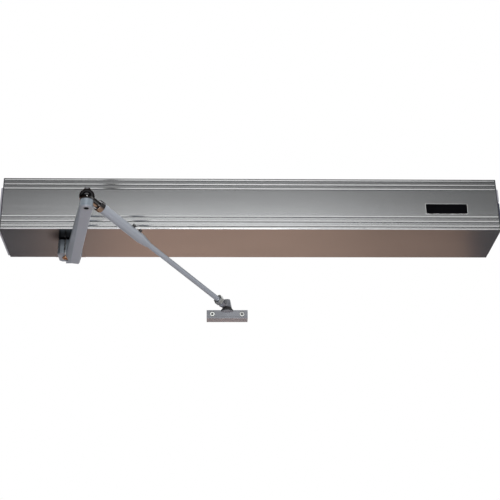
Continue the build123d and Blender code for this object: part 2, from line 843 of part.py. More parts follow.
with BuildPart() as spring_plunger:
    rod_length = plunger_plate_x - rack_right
    with Locations(Location((rack_right + rod_length / 2, spring_y, spring_z), (0, 90, 0))):
        Cylinder(plunger_radius, rod_length)
    plunger_plate_radius = spring_tube_radius - spring_tube_wall - 0.3
    with Locations(Location((plunger_plate_x + plunger_plate_thick / 2, spring_y, spring_z), (0, 90, 0))):
        Cylinder(plunger_plate_radius, plunger_plate_thick)
    with Locations(Location((plunger_plate_x + plunger_plate_thick + 10, spring_y, spring_z), (0, 90, 0))):
        Cylinder(8, 20)
save(spring_plunger, "spring_plunger")

tube_left = front_wall_x + front_wall_thick
saddle_places = (spindle_x + spring_reach / 2, spindle_x + spring_reach - 50)

with BuildPart() as spring_tube:
    with BuildSketch(Plane.YZ.offset(tube_left)):
        with Locations((spring_y, spring_z)):
            Circle(spring_tube_radius)
            Circle(spring_tube_radius - spring_tube_wall, mode=Mode.SUBTRACT)
    extrude(amount=spring_tube_end - tube_left)
    with BuildSketch(Plane.YZ.offset(spring_tube_end)):
        with Locations((spring_y, spring_z)):
            Circle(spring_tube_radius)
            Circle(5 + close_fit, mode=Mode.SUBTRACT)
    extrude(amount=5)
    for place_x in saddle_places:
        with BuildSketch(Plane.YZ.offset(place_x - 8)):
            with Locations(((spring_y - plate_thick) / 2 + 2, spring_z - 19)):
                Rectangle(-spring_y - plate_thick - 4, 5)
            with Locations((-plate_thick - 1.5, spring_z - 12)):
                Rectangle(3, 19)
            with Locations((spring_y, spring_z)):
                Circle(spring_tube_radius - spring_tube_wall, mode=Mode.SUBTRACT)
        extrude(amount=16)
save(spring_tube, "spring_tube")

with BuildPart() as spring_adjuster:
    with Locations(Location((adjuster_plate_x + 2, spring_y, spring_z), (0, 90, 0))):
        Cylinder(plunger_plate_radius, 4)
    with Locations(Location((adjuster_plate_x + 19, spring_y, spring_z), (0, 90, 0))):
        Cylinder(5, 30)
    with BuildSketch(Plane.YZ.offset(adjuster_plate_x + 28)):
        with Locations((spring_y, spring_z)):
            RegularPolygon(8, 6)
    extrude(amount=7)
save(spring_adjuster, "spring_adjuster")

spring_start = plunger_plate_x + plunger_plate_thick + spring_wire / 2 + 0.3
spring_stop = adjuster_plate_x - spring_wire / 2 - 0.3
spring_length = spring_stop - spring_start
spring_pitch = spring_length / spring_turns

with BuildPart() as closing_spring:
    with BuildLine() as spring_path:
        Helix(
            pitch=spring_pitch,
            height=spring_length,
            radius=spring_mean_radius,
            center=(spring_start, spring_y, spring_z),
            direction=(1, 0, 0),
        )
    with BuildSketch(Plane(origin=spring_path.line @ 0, z_dir=spring_path.line % 0)):
        Circle(spring_wire / 2)
    sweep()
save(closing_spring, "closing_spring")

# Control electronics on the back plate
with BuildPart() as control_tray:
    tray_width = tray_right - tray_left
    with Locations(((tray_left + tray_right) / 2, (board_y - plate_thick) / 2, 0)):
        Box(tray_width, -board_y - plate_thick, tray_height)
    with Locations(((tray_left + tray_right) / 2, board_y, 0)):
        Box(tray_width - 4, 2 * (-board_y - plate_thick - 2), tray_height - 4, mode=Mode.SUBTRACT)
    with Locations(((tray_left + tray_right) / 2, 0, 0)):
        with Locations(Plane.XZ):
            with GridLocations(tray_width - 16, tray_height - 16, 2, 2):
                Cylinder(4, -board_y, align=(Align.CENTER, Align.CENTER, Align.MIN))
    with Locations(((tray_left + tray_right) / 2, -plate_thick / 2, 0)):
        Box(tray_width + 10, plate_thick, tray_height + 8, mode=Mode.SUBTRACT)
save(control_tray, "control_tray")

with BuildPart() as main_board:
    board_x = (tray_left + tray_right) / 2
    with Locations((board_x, board_y - 0.8, 0)):
        Box(tray_right - tray_left - 6, 1.6, tray_height - 6)
    board_face = board_y - 1.6
    for place_x, place_z, size_x, size_y, size_z in (
        (-70, 25, 16, 14, 12),
        (-70, 5, 16, 14, 12),
        (-30, -30, 60, 10, 8),
        (45, -32, 50, 12, 9),
        (30, 20, 24, 3, 24),
        (-25, 22, 14, 2.5, 14),
        (-5, 0, 10, 2, 7),
        (70, 25, 20, 22, 16),
    ):
        with Locations((board_x + place_x, board_face - size_y / 2, place_z)):
            Box(size_x, size_y, size_z)
    for place_x in (-45, -28, 5):
        with Locations(Location((board_x + place_x, board_face - 11, -8), (90, 0, 0))):
            Cylinder(6.5, 22)
save(main_board, "main_board")

with BuildPart() as power_supply:
    supply_x = (supply_left + supply_right) / 2
    with Locations((supply_x, -40, 0)):
        Box(supply_right - supply_left, 68, supply_height)
    fillet(edges().filter_by(Axis.Y), 2)
    with Locations((supply_x, -40 - 34, 0)):
        with Locations(Plane.XZ):
            with GridLocations(9, 40, 11, 1):
                Box(4, 60, 3, mode=Mode.SUBTRACT)
    with Locations((supply_x, -4.5, 0)):
        Box(supply_right - supply_left + 16, 3, 50)
save(power_supply, "power_supply")

with BuildPart() as terminal_block:
    with Locations((grommet_x, -13, 20)):
        Box(28, 20, 32)
    chamfer(faces().sort_by(Axis.Y)[0].edges(), 1.5)
    with Locations((grommet_x, -23, 20)):
        with Locations(Plane.XZ):
            with GridLocations(9, 18, 3, 2):
                Cylinder(2.6, 12, mode=Mode.SUBTRACT)
save(terminal_block, "terminal_block")

# Motor cable, clipped to the back plate between the motor and the control tray
cable_start = motor_axis_x + motor_radius + 4
cable_run = tray_left - cable_start
cable_wall_y = -10.0
cable_entry_y = -14.0
cable_entry_z = -20.0
cable_route = (
    (cable_start, motor_axis_y, motor_inlet_z),
    (cable_start + 0.085 * cable_run, motor_axis_y, motor_inlet_z),
    (cable_start + 0.235 * cable_run, -22.0, motor_inlet_z + 4),
    (cable_start + 0.43 * cable_run, cable_wall_y, motor_inlet_z - 2),
    (cable_start + 0.60 * cable_run, cable_wall_y, motor_inlet_z - 10),
    (cable_start + 0.775 * cable_run, cable_wall_y, motor_inlet_z - 4),
    (cable_start + 0.90 * cable_run, cable_entry_y, cable_entry_z),
    (tray_left, cable_entry_y, cable_entry_z),
)
clip_places = []
for first in (3, 4):
    before, after = cable_route[first], cable_route[first + 1]
    clip_places.append(((before[0] + after[0]) / 2, (before[2] + after[2]) / 2))

with BuildPart() as motor_cable:
    with BuildLine() as cable_path:
        FilletPolyline(*cable_route, radius=40)
    with BuildSketch(Plane(origin=cable_path.line @ 0, z_dir=cable_path.line % 0)):
        Circle(cable_radius)
    sweep()
save(motor_cable, "motor_cable")

with BuildPart() as cable_clips:
    for place_x, place_z in clip_places:
        with Locations((place_x, -plate_thick - 5.5, place_z)):
            Box(8, 11, 22)
        with Locations((place_x, cable_wall_y, place_z)):
            Box(10, 2 * cable_radius + 2.4, 2 * cable_radius + 5, mode=Mode.SUBTRACT)
save(cable_clips, "cable_clips")

# Main arm
elbow_length = math.dist((spindle_x, spindle_y), (elbow_x, elbow_y))
arm_angle = math.atan2(elbow_y - spindle_y, elbow_x - spindle_x)
arm_dir = (math.cos(arm_angle), math.sin(arm_angle), 0)
arm_side = (-math.sin(arm_angle), math.cos(arm_angle), 0)


def arm_section(station, offset, width, top, facet_in, facet_up):
    """The plane and the outline of the bar's cross section at a distance from the spindle."""
    origin = (spindle_x + arm_dir[0] * station, spindle_y + arm_dir[1] * station, 0)
    plane = Plane(origin=origin, x_dir=arm_side, z_dir=arm_dir)
    right = offset + width / 2
    left = offset - width / 2
    outline = (
        (right, -arm_bottom),
        (right, -top),
        (left, -top),
        (left, -arm_bottom - facet_up),
        (left + facet_in, -arm_bottom),
    )
    return plane, outline


pinch_y = hub_front + pinch_inset
pinch_z = (hub_top + hub_bottom) / 2
hub_section = arm_section(10, arm_offset_hub, arm_width_hub, arm_top_hub, 9.5, 15)
elbow_section = arm_section(elbow_length - 6, 0.3, arm_width_elbow, boss_top - arm_step, 2.5, 3)

with BuildPart() as main_arm:
    for section_plane, section_outline in (hub_section, elbow_section):
        flip = -1 if section_plane.y_dir.Z > 0 else 1
        with BuildSketch(section_plane):
            with BuildLine():
                Polyline(*[(x, flip * z) for x, z in section_outline], close=True)
            make_face()
    loft(ruled=True)
    fillet(edges().filter_by(lambda edge: edge.length > 150), 1.2)
    with Locations((elbow_x, elbow_y, (arm_bottom + boss_top) / 2)):
        Cylinder(boss_radius, boss_top - arm_bottom)
    with BuildSketch(Plane.XY.offset(hub_bottom)):
        with Locations(((hub_left + hub_right) / 2, (hub_front + hub_back) / 2)):
            Rectangle(hub_right - hub_left, hub_back - hub_front)
        chamfer(vertices().group_by(Axis.X)[0], hub_corner)
    extrude(amount=hub_top - hub_bottom)
    with BuildSketch(Plane.XY.offset(arm_top_hub - 14)):
        with BuildLine():
            Polyline(
                (hub_left + 12, hub_back),
                (hub_right + 10, hub_back),
                (hub_right + 20, hub_front),
                (hub_left + 20, hub_front),
                close=True,
            )
        make_face()
    extrude(amount=16)
    with Locations((spindle_x, spindle_y, 0)):
        with Locations((0, 0, (arm_bottom + hub_bottom) / 2 - 5)):
            Cylinder(8.5, hub_bottom - arm_bottom + 10, mode=Mode.SUBTRACT)
        with Locations((0, 0, (spindle_low + hub_top) / 2 + 10)):
            Cylinder(spindle_radius + close_fit, hub_top - spindle_low + 20, mode=Mode.SUBTRACT)
        with Locations((0, 0, hub_bottom)):
            Cylinder(spindle_screw_radius + close_fit, 10, mode=Mode.SUBTRACT)
    with Locations(((spindle_x, hub_front + 7, (hub_top + hub_bottom) / 2))):
        Box(hub_slit, 20, 40, mode=Mode.SUBTRACT)
    with Locations((elbow_x, elbow_y, arm_bottom)):
        Cylinder(stud_radius + close_fit, 60, mode=Mode.SUBTRACT)
    with Locations((elbow_x, elbow_y, boss_top + 5)):
        Cylinder(socket_radius + 0.8, 10, mode=Mode.SUBTRACT)
    with Locations(Location((hub_left, pinch_y, pinch_z), (0, 90, 0))):
        Cylinder(pinch_radius + close_fit, 2 * (hub_right - hub_left), mode=Mode.SUBTRACT)
        Cylinder(pinch_head_radius + assembly_gap, 2 * pinch_head_high, mode=Mode.SUBTRACT)
save(main_arm, "main_arm")

with BuildPart() as hub_pinch_screw:
    with Locations(Location((hub_left + pinch_head_high / 2, pinch_y, pinch_z), (0, 90, 0))):
        Cylinder(pinch_head_radius, pinch_head_high)
    with Locations(Location(((hub_left + hub_right) / 2, pinch_y, pinch_z), (0, 90, 0))):
        Cylinder(pinch_radius, hub_right - hub_left)
    with BuildSketch(Plane.YZ.offset(hub_left)):
        with Locations((pinch_y, pinch_z)):
            RegularPolygon(2.4, 6)
    extrude(amount=2, mode=Mode.SUBTRACT)
save(hub_pinch_screw, "hub_pinch_screw")

with BuildPart() as spindle_screw:
    with Locations((spindle_x, spindle_y, hub_bottom - 1.5)):
        Cylinder(spindle_screw_head, 3)
    chamfer(edges().filter_by(GeomType.CIRCLE).group_by(Axis.Z)[0], 0.6)
    with Locations((spindle_x, spindle_y, hub_bottom + 12)):
        Cylinder(spindle_screw_radius, 24)
    with BuildSketch(Plane.XY.offset(hub_bottom - 3)):
        with Locations((spindle_x, spindle_y)):
            RegularPolygon(3, 6)
    extrude(amount=2, mode=Mode.SUBTRACT)
save(spindle_screw, "spindle_screw")

# Elbow: a ball stud in the arm, a liner round the ball and a socket round the liner
stud_head_radius = 10.5
stud_head_thick = 1.6
seal_low = boss_top + 0.1
seal_high = boss_top + 2.0
rim_low = seal_high + 0.3

with BuildPart() as ball_stud:
    with Locations((elbow_x, elbow_y, arm_bottom - stud_head_thick / 2)):
        Cylinder(stud_head_radius, stud_head_thick)
    fillet(edges().filter_by(GeomType.CIRCLE).group_by(Axis.Z)[0], 0.8)
    with Locations((elbow_x, elbow_y, (arm_bottom + ball_z) / 2)):
        Cylinder(stud_radius, ball_z - arm_bottom)
    with Locations((elbow_x, elbow_y, ball_z)):
        Sphere(ball_radius)
    with BuildSketch(Plane.XY.offset(arm_bottom - stud_head_thick)):
        with Locations((elbow_x, elbow_y)):
            RegularPolygon(4.2, 6)
    extrude(amount=5, mode=Mode.SUBTRACT)
save(ball_stud, "ball_stud")

with BuildPart() as elbow_seal:
    with Locations((elbow_x, elbow_y, (seal_low + seal_high) / 2)):
        Cylinder(boss_radius + 0.6, seal_high - seal_low)
        Cylinder(stud_radius + 0.3, 10, mode=Mode.SUBTRACT)
    fillet(edges().filter_by(GeomType.CIRCLE).filter_by(lambda edge: edge.radius > boss_radius), 0.5)
save(elbow_seal, "elbow_seal")

with BuildPart() as ball_liner:
    with Locations((elbow_x, elbow_y, ball_z)):
        Sphere(liner_radius - liner_gap)
        Sphere(ball_radius + liner_gap, mode=Mode.SUBTRACT)
    with Locations((elbow_x, elbow_y, ball_z - 10)):
        Cone(9, 5.6, 10.5, mode=Mode.SUBTRACT)
    with Locations((elbow_x, elbow_y, rim_low - 10 + 0.6)):
        Box(40, 40, 20, mode=Mode.SUBTRACT)
save(ball_liner, "ball_liner")

flat_dir = Vector(shoe_x - elbow_x, shoe_axis_y - elbow_y, 0).normalized()
pivot_x = shoe_x - flat_dir.X * pivot_reach
pivot_y = shoe_axis_y - flat_dir.Y * pivot_reach
forearm_origin = Vector(elbow_x, elbow_y, ball_z)
forearm_vector = Vector(pivot_x, pivot_y, pivot_z) - forearm_origin
forearm_length = forearm_vector.length
forearm_dir = forearm_vector.normalized()
forearm_cross = Vector(forearm_dir.Y, -forearm_dir.X, 0).normalized()
forearm_up = forearm_cross.cross(forearm_dir)
set_screw_dir = (forearm_cross + forearm_up).normalized()


def forearm_plane(distance):
    """The plane across the forearm's axis at a distance from the ball's centre."""
    return Plane(origin=forearm_origin + forearm_dir * distance, x_dir=forearm_cross, z_dir=forearm_dir)


nub_high = 5.5
nub_rise = 2.0
nub_low_radius = 8.5
nub_top_radius = 5.0

# The rim's back half leans, so that it clears the seal when the forearm tilts up
relief_lean = math.radians(tilt_up)
relief_up = flat_dir * math.sin(relief_lean) + Vector(0, 0, math.cos(relief_lean))
relief_plane = Plane(origin=(elbow_x, elbow_y, rim_low), x_dir=forearm_cross, z_dir=relief_up)

with BuildPart() as elbow_socket:
    with Locations((elbow_x, elbow_y, ball_z)):
        Sphere(socket_radius)
    with Locations((elbow_x, elbow_y, ball_z + socket_radius - nub_high / 2 + nub_rise)):
        Cone(nub_low_radius, nub_top_radius, nub_high)
    with BuildSketch(forearm_plane(5)):
        Circle(shank_radius)
    extrude(amount=shank_end - 5)
    with BuildSketch(forearm_plane(shank_end)):
        Circle(stud_radius)
    extrude(amount=socket_stud_end - shank_end)
    with Locations((elbow_x, elbow_y, ball_z)):
        Sphere(liner_radius, mode=Mode.SUBTRACT)
    with BuildSketch(Plane.XY.offset(rim_low)):
        with Locations((elbow_x, elbow_y)):
            Circle(boss_clear)
    extrude(amount=-boss_clear, mode=Mode.SUBTRACT)
    with BuildSketch(relief_plane):
        with Locations((0, -socket_radius)):
            Rectangle(4 * socket_radius, 2 * socket_radius)
    extrude(amount=-socket_radius, mode=Mode.SUBTRACT)
save(elbow_socket, "elbow_socket")

with BuildPart() as collar_nut:
    with BuildSketch(forearm_plane(shank_end)):
        Circle(collar_radius)
        Circle(stud_radius + close_fit, mode=Mode.SUBTRACT)
    extrude(amount=collar_end - shank_end)
    fillet(edges().filter_by(GeomType.CIRCLE).filter_by(lambda edge: edge.radius > collar_radius - 0.1), 1.5)
save(collar_nut, "collar_nut")

with BuildPart() as forearm_tube:
    with BuildSketch(forearm_plane(collar_end)):
        Circle(tube_radius)
    extrude(amount=taper_start - collar_end)
    with BuildSketch(forearm_plane(taper_start)):
        Circle(tube_radius)
    with BuildSketch(forearm_plane(tube_end)):
        Circle(tube_tip_radius)
    loft()
    with BuildSketch(forearm_plane(collar_end)):
        Circle(stud_radius + close_fit)
    extrude(amount=tube_bore_start - collar_end, mode=Mode.SUBTRACT)
    with BuildSketch(forearm_plane(tube_bore_start)):
        Circle(rod_radius + running_fit)
    extrude(amount=tube_end - tube_bore_start, mode=Mode.SUBTRACT)
    for place in set_screw_places:
        set_plane = Plane(origin=forearm_origin + forearm_dir * place, x_dir=forearm_dir, z_dir=set_screw_dir)
        with BuildSketch(set_plane):
            Circle(set_screw_radius + close_fit)
        extrude(amount=2 * tube_radius, mode=Mode.SUBTRACT)
save(forearm_tube, "forearm_tube")

with BuildPart() as forearm_set_screws:
    for place in set_screw_places:
        set_plane = Plane(origin=forearm_origin + forearm_dir * place, x_dir=forearm_dir, z_dir=set_screw_dir)
        with BuildSketch(set_plane.offset(rod_radius + running_fit)):
            Circle(set_screw_radius)
        extrude(amount=tube_radius + 0.5 - rod_radius)
        with BuildSketch(set_plane.offset(tube_radius + 0.3)):
            Circle(set_screw_head_radius)
        extrude(amount=set_screw_head_high)
        with BuildSketch(set_plane.offset(tube_radius + 0.3 + set_screw_head_high)):
            RegularPolygon(1.8, 6)
        extrude(amount=-2, mode=Mode.SUBTRACT)
save(forearm_set_screws, "forearm_set_screws")

with BuildPart() as forearm_rod:
    with BuildSketch(forearm_plane(rod_start)):
        Circle(rod_radius)
    extrude(amount=rod_end - rod_start)
    chamfer(edges().filter_by(GeomType.CIRCLE), 0.6)
    with BuildSketch(forearm_plane(rod_end)):
        Circle(eye_stud_radius + close_fit)
    extrude(amount=-24, mode=Mode.SUBTRACT)
save(forearm_rod, "forearm_rod")

with BuildPart() as rod_lock_nut:
    with BuildSketch(forearm_plane(rod_end)):
        RegularPolygon(lock_nut_across / 2, 6, major_radius=False)
        Circle(eye_stud_radius + close_fit, mode=Mode.SUBTRACT)
    extrude(amount=lock_nut_length)
save(rod_lock_nut, "rod_lock_nut")

pivot_point = Vector(pivot_x, pivot_y, pivot_z)
pin_plane = Plane(origin=pivot_point, x_dir=forearm_dir, z_dir=forearm_cross)
neck_end = rod_end + lock_nut_length

with BuildPart() as rod_eye:
    with BuildSketch(forearm_plane(rod_end - 22)):
        Circle(eye_stud_radius)
    extrude(amount=22 + lock_nut_length)
    with BuildSketch(forearm_plane(neck_end)):
        Circle(neck_radius)
    extrude(amount=1.6)
    with BuildSketch(pin_plane.offset(-eye_width / 2)):
        Circle(eye_radius)
        with Locations(((neck_end - forearm_length) / 2, 0)):
            Rectangle(forearm_length - neck_end, 2 * neck_radius)
    extrude(amount=eye_width)
    with BuildSketch(pin_plane.offset(-eye_width)):
        Circle(pin_radius + running_fit)
    extrude(amount=2 * eye_width, mode=Mode.SUBTRACT)
save(rod_eye, "rod_eye")

ear_gap = eye_width + 0.6

with BuildPart() as swivel_fork:
    with Locations((shoe_x, shoe_axis_y, (fork_top + fork_low) / 2)):
        Cone(fork_low_radius, fork_top_radius, fork_top - fork_low)
    fillet(edges().filter_by(GeomType.CIRCLE).group_by(Axis.Z)[-1], 1.2)
    ear_plane = Plane(origin=pivot_point, x_dir=flat_dir, z_dir=forearm_cross)
    ear_up = 1 if ear_plane.y_dir.Z > 0 else -1
    ear_high = fork_top - pivot_z
    ear_low = pivot_z - fork_low
    with BuildSketch(ear_plane.offset(-ear_gap / 2 - ear_thick)):
        Circle(ear_low)
        with BuildLine():
            Polyline(
                (-ear_overhang, -ear_up * ear_low),
                (pivot_reach, -ear_up * ear_low),
                (pivot_reach, ear_up * ear_high),
                (-ear_overhang, ear_up * ear_front_high),
                close=True,
            )
        make_face()
    extrude(amount=ear_gap + 2 * ear_thick)
    with BuildSketch(ear_plane.offset(-ear_gap / 2)):
        Circle(eye_radius + 0.5)
        with Locations((-eye_radius, 0)):
            Rectangle(2 * eye_radius, 4 * eye_radius)
    extrude(amount=ear_gap, mode=Mode.SUBTRACT)
    with BuildSketch(ear_plane.offset(-20)):
        Circle(pin_radius + close_fit)
    extrude(amount=40, mode=Mode.SUBTRACT)
    with Locations((shoe_x, shoe_axis_y, fork_low)):
        Cylinder(swivel_radius + running_fit, 24, mode=Mode.SUBTRACT)
save(swivel_fork, "swivel_fork")

with BuildPart() as pivot_pin:
    pin_half = ear_gap / 2 + ear_thick
    with BuildSketch(pin_plane.offset(-pin_half)):
        Circle(pin_radius)
    extrude(amount=2 * pin_half)
    for face in (-pin_half - 1.2, pin_half):
        with BuildSketch(pin_plane.offset(face)):
            Circle(pin_radius + 1)
        extrude(amount=1.2)
save(pivot_pin, "pivot_pin")

# Door shoe with its swivel stud, boot and screws
shoe_low = shoe_top - shoe_height
shoe_mid_z = (shoe_top + shoe_low) / 2
shoe_screw_z = shoe_top - shoe_screw_drop
pad_top = shoe_top - pad_drop

with BuildPart() as door_shoe:
    with Locations((shoe_x, -shoe_depth / 2, shoe_mid_z)):
        Box(shoe_width, shoe_depth, shoe_height)
    fillet(faces().sort_by(Axis.Y)[0].edges(), shoe_corner)
    with BuildSketch(Plane.XY.offset(pad_top - pad_high)):
        with Locations((shoe_x, shoe_axis_y)):
            Circle(pad_radius)
        with Locations((shoe_x, pad_radius)):
            Rectangle(2 * pad_radius, 2 * pad_radius, mode=Mode.SUBTRACT)
    extrude(amount=pad_high)
    with Locations((shoe_x, shoe_axis_y, shoe_top)):
        Cylinder(swivel_radius, swivel_stud_high, align=(Align.CENTER, Align.CENTER, Align.MIN))
    with BuildSketch(Plane.XZ.offset(shoe_depth)):
        with Locations((shoe_x, shoe_low + shoe_line_height)):
            Rectangle(shoe_width, shoe_line_wide)
    extrude(amount=-shoe_line_deep, mode=Mode.SUBTRACT)
    with Locations(Plane.XZ.offset(shoe_depth)):
        with Locations((shoe_x, shoe_screw_z)):
            with GridLocations(shoe_screw_spacing, shoe_screw_spacing, 2, 1):
                CounterBoreHole(shoe_screw_hole, shoe_screw_sink_radius, shoe_screw_sink, depth=shoe_depth)
save(door_shoe, "door_shoe")

boot_height = boot_high - boot_clear

with BuildPart() as shoe_boot:
    with Locations((shoe_x, shoe_axis_y, shoe_top + boot_height / 2)):
        Cone(boot_low_radius, boot_top_radius, boot_height)
    with Locations((shoe_x, shoe_axis_y, shoe_top)):
        Cylinder(boot_low_radius, pad_drop, align=(Align.CENTER, Align.CENTER, Align.MAX))
    with Locations((shoe_x, -shoe_depth, shoe_top)):
        Box(
            shoe_width,
            shoe_depth,
            shoe_height,
            align=(Align.CENTER, Align.MIN, Align.MAX),
            mode=Mode.SUBTRACT,
        )
    with Locations((shoe_x, 0, shoe_top)):
        Box(
            shoe_width,
            shoe_depth,
            shoe_height,
            align=(Align.CENTER, Align.MIN, Align.CENTER),
            mode=Mode.SUBTRACT,
        )
    with Locations((shoe_x, shoe_axis_y, shoe_top)):
        Cylinder(swivel_radius + running_fit, 3 * boot_height, mode=Mode.SUBTRACT)
save(shoe_boot, "shoe_boot")

with BuildPart() as shoe_screws:
    for side in (-1, 1):
        place_x = shoe_x + side * shoe_screw_spacing / 2
        with BuildSketch(Plane.XZ.offset(shoe_depth - shoe_screw_inset)):
            with Locations((place_x, shoe_screw_z)):
                Circle(shoe_screw_head)
        extrude(amount=-shoe_screw_head_high)
        with BuildSketch(Plane.XZ.offset(shoe_depth - shoe_screw_inset)):
            with Locations((place_x, shoe_screw_z)):
                Circle(shoe_screw_radius)
        extrude(amount=-(shoe_depth - shoe_screw_inset - shoe_screw_end))
        with BuildSketch(Plane.XZ.offset(shoe_depth - shoe_screw_inset)):
            with Locations((place_x, shoe_screw_z)):
                RegularPolygon(shoe_screw_socket, 6)
        extrude(amount=-shoe_screw_socket_deep, mode=Mode.SUBTRACT)
save(shoe_screws, "shoe_screws")

print(len(written), "pieces, forearm", round(forearm_length, 2), "mm")
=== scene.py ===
import json
import math

import bmesh
import bpy
from mathutils import Matrix, Vector


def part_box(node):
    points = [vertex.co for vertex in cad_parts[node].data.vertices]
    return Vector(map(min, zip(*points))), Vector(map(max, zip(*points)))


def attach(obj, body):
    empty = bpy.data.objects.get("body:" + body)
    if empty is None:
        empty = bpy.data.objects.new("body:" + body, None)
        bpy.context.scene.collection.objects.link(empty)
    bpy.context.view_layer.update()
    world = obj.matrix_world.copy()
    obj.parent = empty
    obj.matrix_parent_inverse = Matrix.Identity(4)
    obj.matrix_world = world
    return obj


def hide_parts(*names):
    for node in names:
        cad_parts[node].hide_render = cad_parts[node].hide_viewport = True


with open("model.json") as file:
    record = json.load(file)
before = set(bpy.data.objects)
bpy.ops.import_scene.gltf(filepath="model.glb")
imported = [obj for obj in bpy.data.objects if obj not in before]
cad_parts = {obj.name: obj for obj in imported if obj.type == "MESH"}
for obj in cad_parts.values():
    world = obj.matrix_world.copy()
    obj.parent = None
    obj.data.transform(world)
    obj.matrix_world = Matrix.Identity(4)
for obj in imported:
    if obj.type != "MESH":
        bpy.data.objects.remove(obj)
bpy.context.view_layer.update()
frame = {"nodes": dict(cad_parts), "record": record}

# The camera of the photograph, in metres and degrees
CAMERA_PLACE = (-0.072, -1.988, -0.965)
CAMERA_PITCH = 24.98
CAMERA_YAW = 2.08
CAMERA_ROLL = -0.79
CAMERA_LENS = 77.98
CAMERA_SENSOR = 36.0


def make_camera():
    pitch = math.radians(CAMERA_PITCH)
    yaw = math.radians(CAMERA_YAW)
    roll = math.radians(CAMERA_ROLL)
    forward = Vector((math.sin(yaw) * math.cos(pitch), math.cos(yaw) * math.cos(pitch), math.sin(pitch)))
    level = Vector((math.cos(yaw), -math.sin(yaw), 0))
    upright = level.cross(forward)
    right = level * math.cos(roll) + upright * math.sin(roll)
    up = upright * math.cos(roll) - level * math.sin(roll)
    data = bpy.data.cameras.new("camera")
    data.sensor_width = CAMERA_SENSOR
    data.lens = CAMERA_LENS
    data.clip_end = 60
    camera = bpy.data.objects.new("camera", data)
    bpy.context.scene.collection.objects.link(camera)
    turn = Matrix((right, up, -forward)).transposed().to_4x4()
    camera.matrix_world = Matrix.Translation(CAMERA_PLACE) @ turn
    bpy.context.scene.camera = camera


make_camera()


